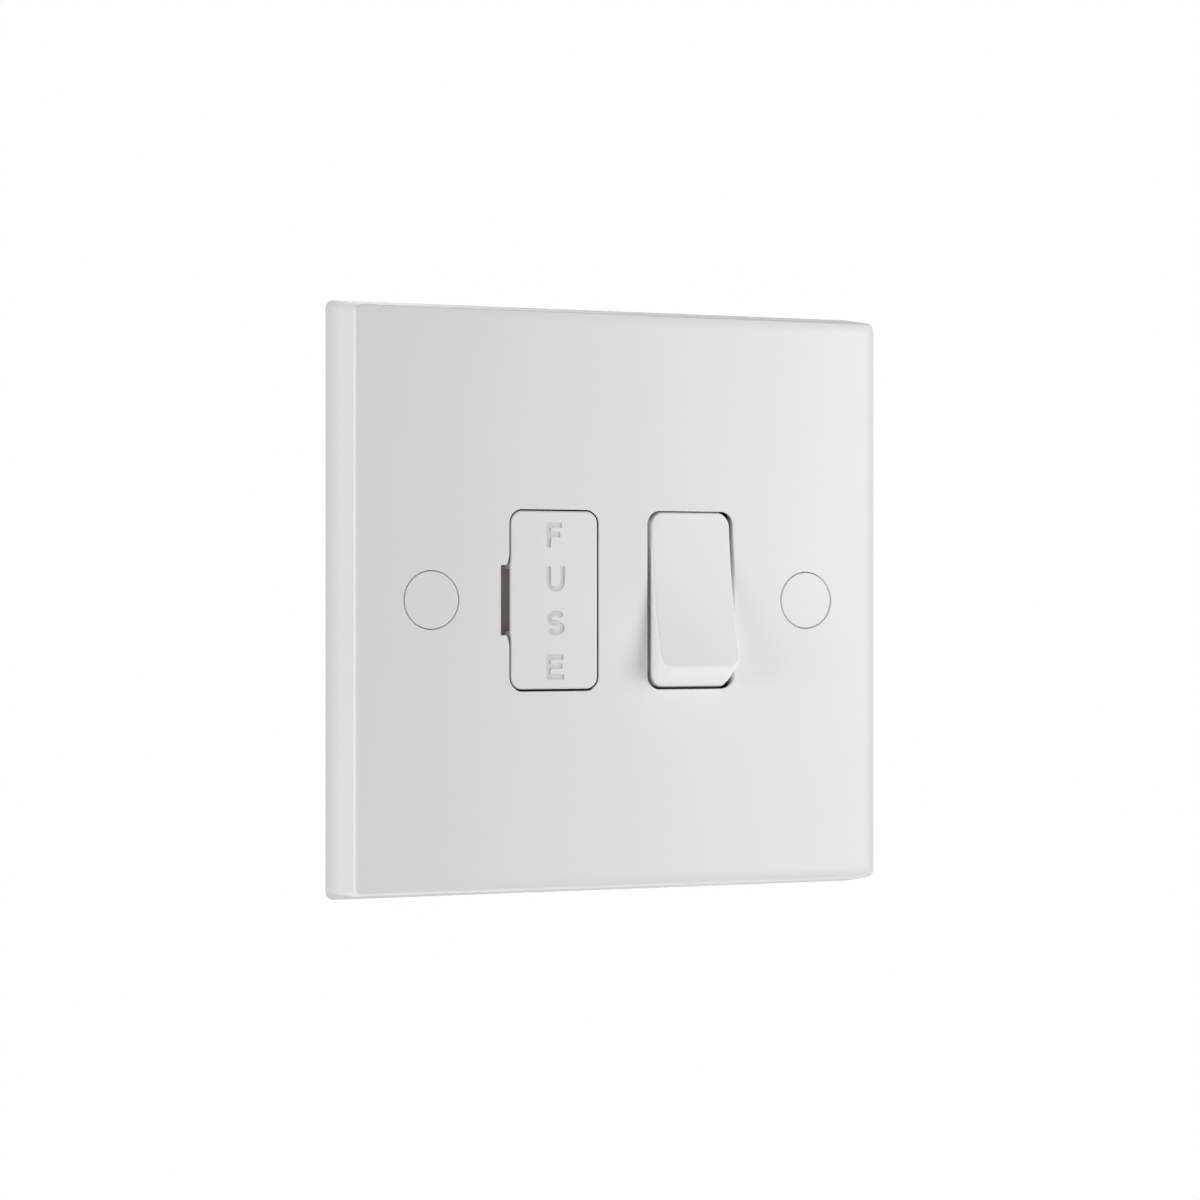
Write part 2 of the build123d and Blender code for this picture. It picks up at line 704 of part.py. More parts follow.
# Live link: from the live seesaw's cradle along the rear wall, then forward to the lower fuse clip
link_riser_x = fuse_x + clip_half + clip_strip + clip_flare
foot_y = clip_base_y + clip_strip
with BuildPart() as live_link:
    add(seesaw_cradle(pole_xs["live"]))
    link_end = pole_xs["live"] + contact_width / 2
    with BuildSketch(depth_plane(bay_rear)):
        with Locations((pole_xs["live"], -clip_z / 2)):
            Rectangle(contact_width, clip_z + clip_height)
        with Locations(((link_riser_x + link_end) / 2, -clip_z)):
            Rectangle(link_end - link_riser_x, clip_height)
    extrude(amount=strip_thick)
    with BuildSketch(depth_plane(bay_rear)):
        with Locations((link_riser_x + strip_thick / 2, -clip_z)):
            Rectangle(strip_thick, clip_height)
    extrude(amount=bay_rear - foot_y)
    foot_start = fuse_x - clip_half
    with BuildSketch(depth_plane(foot_y + strip_thick)):
        with Locations(((foot_start + link_riser_x) / 2, -clip_z)):
            Rectangle(link_riser_x - foot_start, clip_height)
    extrude(amount=strip_thick)
finish(live_link.part, "live_link")


def fuse_clip(z):
    """U-shaped clip around one fuse cap, open to the front with flared lead-ins."""
    front = fuse_y - clip_arm_front
    half = clip_half + clip_strip / 2
    base = clip_base_y + clip_strip / 2
    with BuildPart() as clip:
        with BuildSketch(Plane.XY.offset(z - clip_height / 2)):
            with BuildLine() as strip:
                Polyline(
                    (fuse_x - half - clip_flare, front - clip_flare),
                    (fuse_x - half, front),
                    (fuse_x - half, base),
                    (fuse_x + half, base),
                    (fuse_x + half, front),
                    (fuse_x + half + clip_flare, front - clip_flare),
                )
            trace(line_width=clip_strip)
        extrude(amount=clip_height)
    return clip.part


with BuildPart() as lower_fuse_clip:
    add(fuse_clip(-clip_z))
finish(lower_fuse_clip.part, "lower_fuse_clip")

with BuildPart() as upper_fuse_clip:
    add(fuse_clip(clip_z))
    tail_end = terminal_z + terminal_length / 4
    with BuildSketch(depth_plane(clip_base_y + clip_strip)):
        with Locations((fuse_x, (clip_z + tail_end) / 2)):
            Rectangle(clip_tail_width, tail_end - clip_z)
    extrude(amount=clip_strip)
finish(upper_fuse_clip.part, "upper_fuse_clip")

# Fuse carrier: flush front panel with a lever pocket, and cheeks that grip the fuse's barrel
carrier_rear = face_y + carrier_thick
barrel_r = fuse_cap_r - fuse_cap_wall - fuse_cap_clearance
with BuildPart() as fuse_carrier:
    with BuildSketch(depth_plane(carrier_rear)):
        with Locations((fuse_x, 0)):
            RectangleRounded(carrier_width, carrier_height, carrier_corner_r)
    extrude(amount=carrier_thick)
    chamfer(fuse_carrier.faces().sort_by(Axis.Y)[0].edges(), carrier_edge_bevel)
    with BuildSketch(depth_plane(carrier_rear)):
        with Locations((fuse_x - carrier_width / 2, 0)):
            Rectangle(2 * carrier_pocket_depth, carrier_pocket_height)
    extrude(amount=carrier_thick - carrier_pocket_lip, mode=Mode.SUBTRACT)
    with BuildSketch(depth_plane(fuse_y + grip_past_axis)):
        with Locations((fuse_x, 0)):
            Rectangle(grip_width, grip_height)
    extrude(amount=fuse_y + grip_past_axis - carrier_rear)
    with BuildSketch(Plane.XY):
        with Locations((fuse_x, fuse_y)):
            Circle(barrel_r + grip_clearance)
    extrude(amount=fuse_length / 2, both=True, mode=Mode.SUBTRACT)
finish(fuse_carrier.part, "fuse_carrier")

# Cartridge fuse: ceramic barrel in two plated caps
with BuildPart() as fuse_barrel:
    with BuildSketch(Plane.XY):
        with Locations((fuse_x, fuse_y)):
            Circle(barrel_r)
    extrude(amount=fuse_length / 2 - fuse_cap_wall, both=True)
finish(fuse_barrel.part, "fuse_barrel")

with BuildPart() as fuse_end_caps:
    for end in (-1, 1):
        mouth = end * (fuse_length / 2 - fuse_cap_length)
        with BuildSketch(Plane.XY.offset(mouth)):
            with Locations((fuse_x, fuse_y)):
                Circle(fuse_cap_r)
        extrude(amount=end * fuse_cap_length)
        with BuildSketch(Plane.XY.offset(mouth)):
            with Locations((fuse_x, fuse_y)):
                Circle(barrel_r + fuse_cap_clearance)
        extrude(amount=end * (fuse_cap_length - fuse_cap_wall), mode=Mode.SUBTRACT)
finish(fuse_end_caps.part, "fuse_end_caps")
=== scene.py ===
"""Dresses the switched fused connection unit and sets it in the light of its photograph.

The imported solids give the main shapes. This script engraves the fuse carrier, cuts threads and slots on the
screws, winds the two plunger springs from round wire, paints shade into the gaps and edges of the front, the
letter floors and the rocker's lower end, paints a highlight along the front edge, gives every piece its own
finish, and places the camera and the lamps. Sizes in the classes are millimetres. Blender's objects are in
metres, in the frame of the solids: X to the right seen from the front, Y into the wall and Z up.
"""

import json
import logging
from dataclasses import dataclass, replace
from enum import Enum
from math import cos, pi, radians, sin

import bmesh
import bpy
import numpy as np
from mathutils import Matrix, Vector


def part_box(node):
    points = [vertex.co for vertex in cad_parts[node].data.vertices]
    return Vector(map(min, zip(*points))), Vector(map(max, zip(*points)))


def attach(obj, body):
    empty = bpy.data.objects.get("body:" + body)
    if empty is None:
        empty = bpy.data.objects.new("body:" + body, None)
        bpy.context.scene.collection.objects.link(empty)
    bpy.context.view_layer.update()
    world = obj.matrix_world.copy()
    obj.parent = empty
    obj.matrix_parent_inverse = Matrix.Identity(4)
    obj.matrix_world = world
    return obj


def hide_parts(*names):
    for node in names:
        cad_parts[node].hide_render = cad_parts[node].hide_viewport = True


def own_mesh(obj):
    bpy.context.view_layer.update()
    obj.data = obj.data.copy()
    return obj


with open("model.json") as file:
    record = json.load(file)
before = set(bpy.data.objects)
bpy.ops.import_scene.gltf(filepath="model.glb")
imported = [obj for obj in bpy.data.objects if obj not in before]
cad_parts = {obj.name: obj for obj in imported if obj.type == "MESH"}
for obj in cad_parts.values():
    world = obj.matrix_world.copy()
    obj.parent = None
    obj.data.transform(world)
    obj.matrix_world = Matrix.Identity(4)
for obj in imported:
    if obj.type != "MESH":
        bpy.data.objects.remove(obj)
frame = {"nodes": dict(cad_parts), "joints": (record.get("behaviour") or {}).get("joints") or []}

Tree = bpy.types.NodeTree
Socket = bpy.types.NodeSocket

MM = 0.001
SHARP_EDGE = radians(32)
SQUARE_ON = cos(radians(0.5))
GOLDEN_TURN = radians(137.5)
MERGE_MM = 0.001
DRIFT_DETAIL = 3.0
GRAIN_DETAIL = 2.0
FLAT_WEIGHT = 100
# Noise keeps mostly to this part of its range
NOISE_LOW, NOISE_HIGH = 0.3, 0.7

log = logging.getLogger("fused_unit")


class Grain(Enum):
    """Direction in which a surface was worked, as the scale of its fine pattern along X, Y and Z.

    The pattern is drawn out along an axis with a small scale.
    """

    EVEN = (1.0, 1.0, 1.0)
    ALONG_X = (0.06, 1.0, 1.0)
    ALONG_Y = (1.0, 0.06, 1.0)
    ALONG_Z = (1.0, 1.0, 0.06)


def linear(code: str) -> tuple[float, float, float, float]:
    """Turn an sRGB hex colour into the linear colour that shaders take.

    Args:
        code: Colour as "#RRGGBB".

    Returns:
        Linear red, green and blue, and an alpha of one.
    """
    srgb = np.array([int(code[start:start + 2], 16) for start in (1, 3, 5)]) / 255
    flat = np.where(srgb <= 0.04045, srgb / 12.92, ((srgb + 0.055) / 1.055) ** 2.4)
    return (*flat.tolist(), 1.0)


def add_node(
    tree: Tree, kind: str, inputs: dict[str | int, object] | None = None, **settings: object
) -> bpy.types.Node:
    """Add one shader node.

    Args:
        tree: Node tree that gets the node.
        kind: Blender's name for the type of node.
        inputs: Input sockets by name or number, each with a value or with the output socket that feeds it.
        **settings: Properties of the node.

    Returns:
        The new node.
    """
    node = tree.nodes.new(kind)
    for name, value in settings.items():
        setattr(node, name, value)
    for name, value in (inputs or {}).items():
        if isinstance(value, Socket):
            tree.links.new(value, node.inputs[name])
        else:
            node.inputs[name].default_value = value
    return node


@dataclass(frozen=True)
class Opening:
    """Box round an opening in a moulding, whose walls get painted shade that deepens with their depth.

    Attributes:
        low: Left, front and lower limit in millimetres.
        high: Right, rear and upper limit in millimetres.
        tone: Painted shade of the walls at the rear limit, as sRGB hex.
    """

    low: tuple[float, float, float]
    high: tuple[float, float, float]
    tone: str

    def shade(self, tree: Tree, place: Socket, tone: Socket) -> Socket:
        """Mix the walls' painted shade over a colour, inside the box and more towards its rear.

        The weight is the depth's share of the box, times one where X and Z are both inside it.

        Args:
            tree: Node tree of the material.
            place: Object coordinates.
            tone: Colour outside the opening.

        Returns:
            Colour with the opening's walls in it.
        """
        low, high = np.array(self.low) * MM, np.array(self.high) * MM
        size = high - low
        share = add_node(
            tree, "ShaderNodeMapping",
            {"Vector": place, "Location": (-low / size).tolist(), "Scale": (1 / size).tolist()},
        )
        parts = add_node(tree, "ShaderNodeSeparateXYZ", {"Vector": share.outputs["Vector"]})
        weight = add_node(
            tree, "ShaderNodeMath", {0: parts.outputs["Y"], 1: 1.0}, operation="MULTIPLY", use_clamp=True
        )
        # A share within a half of the box's middle is inside it
        for axis in ("X", "Z"):
            within = add_node(
                tree, "ShaderNodeMath", {0: parts.outputs[axis], 1: 0.5, 2: 0.5}, operation="COMPARE"
            )
            weight = add_node(
                tree, "ShaderNodeMath", {0: weight.outputs[0], 1: within.outputs[0]}, operation="MULTIPLY"
            )
        mixed = add_node(
            tree, "ShaderNodeMixRGB", {"Fac": weight.outputs[0], "Color1": tone, "Color2": linear(self.tone)}
        )
        return mixed.outputs["Color"]


@dataclass(frozen=True)
class Band:
    """Soft band of painted shade or painted highlight, along the edges of a square moulding or across one
    axis.

    Attributes:
        tone: Painted shade or highlight of the band at full weight, as sRGB hex.
        ramps: Where the weight is nought and where it is one, in millimetres, by X, Y, Z or "reach", which is
            the greater of |X| and |Z|.
    """

    tone: str
    ramps: dict[str, tuple[float, float]]

    def shade(self, tree: Tree, place: Socket, tone: Socket) -> Socket:
        """Mix the band's painted shade or highlight over a colour, by the product of its smooth ramps.

        Args:
            tree: Node tree of the material.
            place: Object coordinates.
            tone: Colour outside the band.

        Returns:
            Colour with the band in it.
        """
        spot = add_node(tree, "ShaderNodeSeparateXYZ", {"Vector": place})
        sizes = add_node(tree, "ShaderNodeVectorMath", {0: place}, operation="ABSOLUTE")
        spread = add_node(tree, "ShaderNodeSeparateXYZ", {"Vector": sizes.outputs["Vector"]})
        reach = add_node(
            tree, "ShaderNodeMath", {0: spread.outputs["X"], 1: spread.outputs["Z"]}, operation="MAXIMUM"
        )
        values = {"reach": reach.outputs[0], **{axis: spot.outputs[axis] for axis in "XYZ"}}
        weight: float | Socket = 1.0
        for name, (start, end) in self.ramps.items():
            ramp = add_node(
                tree, "ShaderNodeMapRange",
                {"Value": values[name], "From Min": start * MM, "From Max": end * MM},
                interpolation_type="SMOOTHSTEP",
            )
            product = add_node(
                tree, "ShaderNodeMath", {0: weight, 1: ramp.outputs["Result"]}, operation="MULTIPLY"
            )
            weight = product.outputs[0]
        mixed = add_node(
            tree, "ShaderNodeMixRGB", {"Fac": weight, "Color1": tone, "Color2": linear(self.tone)}
        )
        return mixed.outputs["Color"]


@dataclass(frozen=True)
class Finish:
    """Surface of one real material: two tones that drift into each other under a fine grain.

    Attributes:
        name: Common name of the material and how its surface was made.
        pale: Lighter tone as sRGB hex.
        deep: Darker tone as sRGB hex.
        drift_mm: Width of the slow change between the tones.
        grain: Direction of the fine pattern.
        grain_mm: Width of the fine pattern.
        relief_mm: Height of the fine pattern.
        smooth: Roughness on the crests of the pattern.
        rough: Roughness in its hollows.
        metallic: One for a bare or plated metal.
        ior: Index of refraction. Metals keep the shader's default.
        zones: Openings and bands of painted shade and highlight, each laid over those before it.
    """

    name: str
    pale: str
    deep: str
    drift_mm: float
    grain: Grain
    grain_mm: float
    relief_mm: float
    smooth: float
    rough: float
    metallic: float = 0.0
    ior: float = 1.5
    zones: tuple[Opening | Band, ...] = ()

    def material(self) -> bpy.types.Material:
        """Return the Blender material, made on first use."""
        return bpy.data.materials.get(self.name) or self._build()

    def _build(self) -> bpy.types.Material:
        """Build the node tree: one noise drifts the colour, and a finer one drives roughness and bump.

        Returns:
            The new material.
        """
        material = bpy.data.materials.new(self.name)
        material.use_nodes = True
        tree = material.node_tree
        shader = tree.nodes["Principled BSDF"]
        shader.inputs["Metallic"].default_value = self.metallic
        shader.inputs["IOR"].default_value = self.ior
        place = add_node(tree, "ShaderNodeTexCoord")
        drift = add_node(
            tree, "ShaderNodeTexNoise",
            {"Vector": place.outputs["Object"], "Scale": 1 / (self.drift_mm * MM), "Detail": DRIFT_DETAIL},
        )
        tone = add_node(
            tree, "ShaderNodeMixRGB",
            {"Fac": drift.outputs["Fac"], "Color1": linear(self.deep), "Color2": linear(self.pale)},
        )
        stretched = add_node(
            tree, "ShaderNodeMapping", {"Vector": place.outputs["Object"], "Scale": self.grain.value}
        )
        grain = add_node(
            tree, "ShaderNodeTexNoise",
            {"Vector": stretched.outputs["Vector"], "Scale": 1 / (self.grain_mm * MM),
             "Detail": GRAIN_DETAIL},
        )
        gloss = add_node(
            tree, "ShaderNodeMapRange",
            {"Value": grain.outputs["Fac"], "From Min": NOISE_LOW, "From Max": NOISE_HIGH,
             "To Min": self.rough, "To Max": self.smooth},
        )
        relief = add_node(
            tree, "ShaderNodeBump",
            {"Height": grain.outputs["Fac"], "Strength": 1.0, "Distance": self.relief_mm * MM},
        )
        colour = tone.outputs["Color"]
        for zone in self.zones:
            colour = zone.shade(tree, place.outputs["Object"], colour)
        tree.links.new(colour, shader.inputs["Base Color"])
        tree.links.new(gloss.outputs["Result"], shader.inputs["Roughness"])
        tree.links.new(relief.outputs["Normal"], shader.inputs["Normal"])
        return material


# Urea moulding: a cool matt white with a fine spark-eroded tooth, drawn coarse enough to show
WHITE_UREA = Finish(
    "white_moulded_urea", pale="#EEEEEE", deep="#EAEAEA", drift_mm=22.0, grain=Grain.EVEN, grain_mm=0.35,
    relief_mm=0.0015, smooth=0.56, rough=0.68, ior=1.54,
)
# Polycarbonate moulding: the same white, a little glossier, for the pieces that fingers touch
WHITE_POLYCARBONATE = Finish(
    "white_moulded_polycarbonate", pale="#EDEDED", deep="#E9E9E9", drift_mm=14.0, grain=Grain.EVEN,
    grain_mm=0.35, relief_mm=0.001, smooth=0.46, rough=0.56, ior=1.58,
)
# Letter floors: etched rougher than the face, and greyer as painted shade of the recess, so that the word
# reads
ETCHED_SHADED_POLYCARBONATE = Finish(
    "etched_polycarbonate_with_painted_shade", pale="#E4E4E4", deep="#E0E0E0", drift_mm=6.0, grain=Grain.EVEN, grain_mm=0.2,
    relief_mm=0.002, smooth=0.6, rough=0.75, ior=1.58,
)
# Phenolic moulding: near-black with a dull, slightly brown bloom where the filler shows
CHARCOAL_PHENOLIC = Finish(
    "charcoal_moulded_phenolic", pale="#3A3735", deep="#262422", drift_mm=6.0, grain=Grain.EVEN, grain_mm=0.5,
    relief_mm=0.006, smooth=0.42, rough=0.62, ior=1.6,
)
# Brass cut from drawn bar: warm yellow with fine lines along the draw
DRAWN_BRASS = Finish(
    "drawn_bar_brass", pale="#E2C37F", deep="#CDA962", drift_mm=5.0, grain=Grain.ALONG_Z, grain_mm=0.25,
    relief_mm=0.0025, smooth=0.2, rough=0.38, metallic=1.0,
)
# Brass turned on a lathe: brighter, with fine tool lines across the screw
TURNED_BRASS = Finish(
    "turned_brass", pale="#E6C988", deep="#D2AF69", drift_mm=4.0, grain=Grain.ALONG_X, grain_mm=0.2,
    relief_mm=0.002, smooth=0.16, rough=0.32, metallic=1.0,
)
# Phosphor bronze strip: redder than brass, rolled smooth
ROLLED_BRONZE = Finish(
    "rolled_phosphor_bronze", pale="#DDB48A", deep="#C6976B", drift_mm=5.0, grain=Grain.ALONG_Z,
    grain_mm=0.22, relief_mm=0.002, smooth=0.22, rough=0.36, metallic=1.0,
)
# Zinc plate on steel: bright bluish grey with a slightly mottled gloss
ZINC_PLATE = Finish(
    "zinc_plated_steel", pale="#D6D8DB", deep="#BEC1C6", drift_mm=2.5, grain=Grain.EVEN, grain_mm=0.3,
    relief_mm=0.0015, smooth=0.18, rough=0.34, metallic=1.0,
)
# Silver contact face: pale and warm, softly matte from riveting
RIVETED_SILVER = Finish(
    "riveted_silver", pale="#F0EDE6", deep="#DCD8CF", drift_mm=1.2, grain=Grain.EVEN, grain_mm=0.2,
    relief_mm=0.002, smooth=0.3, rough=0.45, metallic=1.0,
)
# Nickel plate on brass: a warm grey mirror with faint drawing lines
NICKEL_PLATE = Finish(
    "nickel_plated_brass", pale="#E2DED6", deep="#CFCAC0", drift_mm=4.0, grain=Grain.ALONG_Z, grain_mm=0.3,
    relief_mm=0.001, smooth=0.12, rough=0.24, metallic=1.0,
)
# Spring wire: grey steel with fine drawn lines
SPRING_WIRE = Finish(
    "drawn_spring_steel", pale="#BFC0C2", deep="#9FA1A4", drift_mm=1.5, grain=Grain.ALONG_Y, grain_mm=0.15,
    relief_mm=0.001, smooth=0.22, rough=0.36, metallic=1.0,
)
# Unglazed steatite tube: chalky warm white with a fine tooth
FIRED_CERAMIC = Finish(
    "unglazed_steatite", pale="#EEEAE1", deep="#E0DBD0", drift_mm=3.0, grain=Grain.EVEN, grain_mm=0.25,
    relief_mm=0.006, smooth=0.6, rough=0.78, ior=1.62,
)
# Natural nylon: a waxy ivory
NATURAL_NYLON = Finish(
    "natural_moulded_nylon", pale="#E8E2D2", deep="#DAD3C0", drift_mm=3.0, grain=Grain.EVEN, grain_mm=0.3,
    relief_mm=0.002, smooth=0.36, rough=0.5, ior=1.53,
)


def dress(finish: Finish, *nodes: str) -> None:
    """Give CAD nodes a finish in their own material slots.

    Args:
        finish: Surface for the nodes.
        *nodes: Names of the nodes.
    """
    for name in nodes:
        for holder in frame["nodes"][name].material_slots:
            holder.material = finish.material()
        log.info("%s is %s", name, finish.name)


def tube_mesh(name: str, grid: np.ndarray) -> bpy.types.Object:
    """Make a closed surface from a grid of points: rows run along a path, and columns go round it.

    Each quad joins point (i, j) to (i, j+1), (i+1, j+1) and (i+1, j), with the last column next to the first.
    One flat face closes each end.

    Args:
        name: Name of the piece.
        grid: Points in metres, as an array of rows by columns by three.

    Returns:
        The new object, linked to the scene.
    """
    rows, columns = grid.shape[:2]
    index = np.arange(rows * columns).reshape(rows, columns)
    beside = np.roll(index, -1, axis=1)
    quads = np.stack((index[:-1], beside[:-1], beside[1:], index[1:]), axis=-1).reshape(-1, 4)
    mesh = bpy.data.meshes.new(name)
    ends = [index[0].tolist(), index[-1].tolist()]
    mesh.from_pydata(grid.reshape(-1, 3).tolist(), [], quads.tolist() + ends)
    shell = bmesh.new()
    shell.from_mesh(mesh)
    bmesh.ops.recalc_face_normals(shell, faces=shell.faces)
    shell.to_mesh(mesh)
    shell.free()
    piece = bpy.data.objects.new(name, mesh)
    bpy.context.scene.collection.objects.link(piece)
    return piece


def trough(
    path: np.ndarray, front: float, rear: float, width: float, draft: float = 0.0
) -> bpy.types.Object:
    """Make a cutter for a groove of even width that follows a path on a plane across Y.

    The section is a trapezium carried along the path: half its width to each side of the path, more by the
    draft at the front and less by it at the rear.

    Args:
        path: Points of the middle line as X and Z, in millimetres.
        front: Y of the cutter's front.
        rear: Y of the groove's floor.
        width: Mean width of the groove.
        draft: How much each wall leans outwards over half the depth.

    Returns:
        A closed cutter.
    """
    along = np.gradient(path, axis=0)
    along /= np.linalg.norm(along, axis=1, keepdims=True)
    across = np.stack((-along[:, 1], along[:, 0]), axis=-1)
    reach = np.array([1, 1, -1, -1]) * (width / 2 + draft * np.array([1, -1, -1, 1]))
    spots = path[:, None, :] + across[:, None, :] * reach[None, :, None]
    depth = np.broadcast_to(np.array([front, rear, rear, front]), spots.shape[:2])
    return tube_mesh("cutter", MM * np.stack((spots[..., 0], depth, spots[..., 1]), axis=-1))


def carve(piece: bpy.types.Object, cutters: list[bpy.types.Object]) -> None:
    """Cut closed shapes out of a piece and remove the cutters.

    Args:
        piece: Closed piece to cut.
        cutters: Closed shapes to take away.
    """
    for cutter in cutters:
        cut = piece.modifiers.new("cut", "BOOLEAN")
        cut.operation = "DIFFERENCE"
        cut.solver = "EXACT"
        cut.object = cutter
    graph = bpy.context.evaluated_depsgraph_get()
    carved = bpy.data.meshes.new_from_object(piece.evaluated_get(graph))
    piece.modifiers.clear()
    piece.data = carved
    for cutter in cutters:
        bpy.data.meshes.remove(cutter.data)


def shade(piece: bpy.types.Object) -> None:
    """Round the shading over shallow edges, keep steep ones crisp and let faces square to an axis stay flat.

    Args:
        piece: The new piece.
    """
    piece.data.shade_smooth()
    piece.data.set_sharp_from_angle(angle=SHARP_EDGE)
    normals = np.array([face.normal for face in piece.data.polygons])
    piece.data.polygons.foreach_set("use_smooth", np.abs(normals).max(axis=1) < SQUARE_ON)
    flat = piece.modifiers.new("flat_faces", "WEIGHTED_NORMAL")
    flat.keep_sharp = True
    flat.weight = FLAT_WEIGHT


def enter(piece: bpy.types.Object, finish: Finish, body: str, slot: str, *nodes: str) -> None:
    """Finish a new piece and put it in the place of CAD nodes.

    Args:
        piece: The new piece.
        finish: Its surface.
        body: CAD body that it moves with.
        slot: Material slot of the record. Not used.
        *nodes: CAD nodes that it stands for.
    """
    piece.data.materials.clear()
    piece.data.materials.append(finish.material())
    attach(piece, body)
    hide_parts(*nodes)
    log.info("%s is %s, with %d faces", piece.name, finish.name, len(piece.data.polygons))


@dataclass
class FrontPlate:
    """White plate with its two screw covers, which keep the shapes of the solids.

    Attributes:
        finish: Surface of the plate and the covers.
        gap_shade_tone: Painted shade deep in the gaps round the carrier and the rocker.
        aperture_width: Width of the two apertures.
        rim_bevel: Depth of the bevel round each aperture.
        rim_reach: How far a gap's painted shade reaches past an aperture's side.
        pale_side: How much less it reaches at the rocker's sides, whose walls stay pale.
        sill_depths: Depths between which painted shade darkens the rim below the carrier.
        carrier_gap_depth: Depth at which the painted shade in the carrier's gap is darkest.
        rocker_gap_depth: Depth at which the painted shade in the rocker's gap is darkest.
        gap_reach: How far the painted shade reaches above and below the carrier and the rocker.
        notch_shade_tone: Painted shade on the lever notch's floor.
        notch_start: Depth at which the notch's painted shade starts.
        notch_depth: Depth at which it has its tone.
        notch_out: How far the notch reaches to the left of the carrier.
        notch_in: How far it reaches behind the carrier's left side.
        notch_height: Height of the notch.
        draw_in: How much narrower each side of the face is than the rim at the wall.
        edge_shade_tone: Painted shade of the face at its edges.
        edge_band: Width of the soft band of painted shade inside those edges.
        wall_shade_tone: Painted shade of the skirt at the wall.
        wall_band: Width of the band at the wall.
        under_shade_tone: Painted shade of the skirt's underside.
        edge_highlight_tone: Painted highlight along the front edge.
        line_width: Width of that painted highlight.
    """

    finish: Finish = WHITE_UREA
    gap_shade_tone: str = "#1E1C1B"
    aperture_width: float = 14.1
    rim_bevel: float = 0.15
    rim_reach: float = 0.3
    pale_side: float = 0.45
    sill_depths: tuple[float, float] = (0.015, 0.075)
    carrier_gap_depth: float = 0.35
    rocker_gap_depth: float = 0.9
    gap_reach: float = 0.5
    notch_shade_tone: str = "#BAB3B0"
    notch_start: float = 1.4
    notch_depth: float = 2.1
    notch_out: float = 2.5
    notch_in: float = 1.3
    notch_height: float = 12.0
    draw_in: float = 1.2
    edge_shade_tone: str = "#DCDCDC"
    edge_band: float = 1.9
    wall_shade_tone: str = "#DADADA"
    wall_band: float = 4.5
    under_shade_tone: str = "#D2D2D2"
    edge_highlight_tone: str = "#FDFDFD"
    line_width: float = 0.3

    def bands(self) -> tuple[Band, ...]:
        """Paint shade inside the face's edges, more to the right, and on the skirt at the wall and
        underneath.

        The front edge gets a painted highlight, a pale line stronger to the left.

        Returns:
            The bands in the order in which they are laid.
        """
        low, high = (np.array(corner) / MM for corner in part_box("front_plate"))
        face, out = low[1], high[0]
        side, line = out - self.draw_in, self.line_width
        front = (face + 2 * line, face + line)
        # Three bands of painted shade, then a painted highlight along the front edge
        return (
            Band(self.edge_shade_tone, {"reach": (side - self.edge_band, side), "Y": front, "X": (-out, out)}),
            Band(self.wall_shade_tone, {"reach": (side - line, side), "Y": (-self.wall_band, 0.0)}),
            Band(self.under_shade_tone, {"Z": (-side, -side - line), "Y": (face, -self.wall_band)}),
            Band(self.edge_highlight_tone, {
                "reach": (side - line, side - line / 2), "Y": front,
                "X": (out, -out), "Z": (line - side, 2 * line - side),
            }),
        )

    def openings(self) -> tuple[Opening, ...]:
        """Box the walls round the carrier and the rocker, and then the floor of the carrier's lever notch,
        for painted shade.

        The rims keep the face's white without painted shade, apart from the one below the carrier, and so do
        the walls at the rocker's sides, which the light reaches.

        Returns:
            The openings in the order in which they are laid.
        """
        (left, face, foot), (right, _, _) = (np.array(corner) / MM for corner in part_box("fuse_carrier"))
        half = self.aperture_width / 2 + self.rim_reach
        sill_start, sill_end = self.sill_depths
        # Painted shade on the rim below the carrier, then in the walls round the carrier and the rocker
        found = [Opening(
            ((left + right) / 2 - half, face + sill_start, foot - self.gap_reach),
            ((left + right) / 2 + half, face + sill_end, foot),
            self.gap_shade_tone,
        )]
        for node, inside, depth in (
            ("fuse_carrier", 0.0, self.carrier_gap_depth),
            ("rocker", self.pale_side, self.rocker_gap_depth),
        ):
            low, high = (np.array(corner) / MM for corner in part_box(node))
            middle = (low[0] + high[0]) / 2
            found.append(Opening(
                (middle - half + inside, face + self.rim_bevel, low[2] - self.gap_reach),
                (middle + half - inside, face + depth, high[2] + self.gap_reach),
                self.gap_shade_tone,
            ))
        # Lighter painted shade on the floor of the lever notch, over the darker one
        found.append(Opening(
            (left - self.notch_out, face + self.notch_start, -self.notch_height / 2),
            (left + self.notch_in, face + self.notch_depth, self.notch_height / 2),
            self.notch_shade_tone,
        ))
        return tuple(found)

    def dress(self) -> None:
        """Give the plate and covers moulded white, with painted shade and a painted highlight on the plate.
        """
        # Painted shade in the edges and openings, and a painted highlight on the front edge, laid over the
        # white
        zones = self.bands() + self.openings()
        dress(replace(self.finish, name=f"{self.finish.name}_with_painted_shade_and_highlight", zones=zones), "front_plate")
        dress(self.finish, "screw_caps")


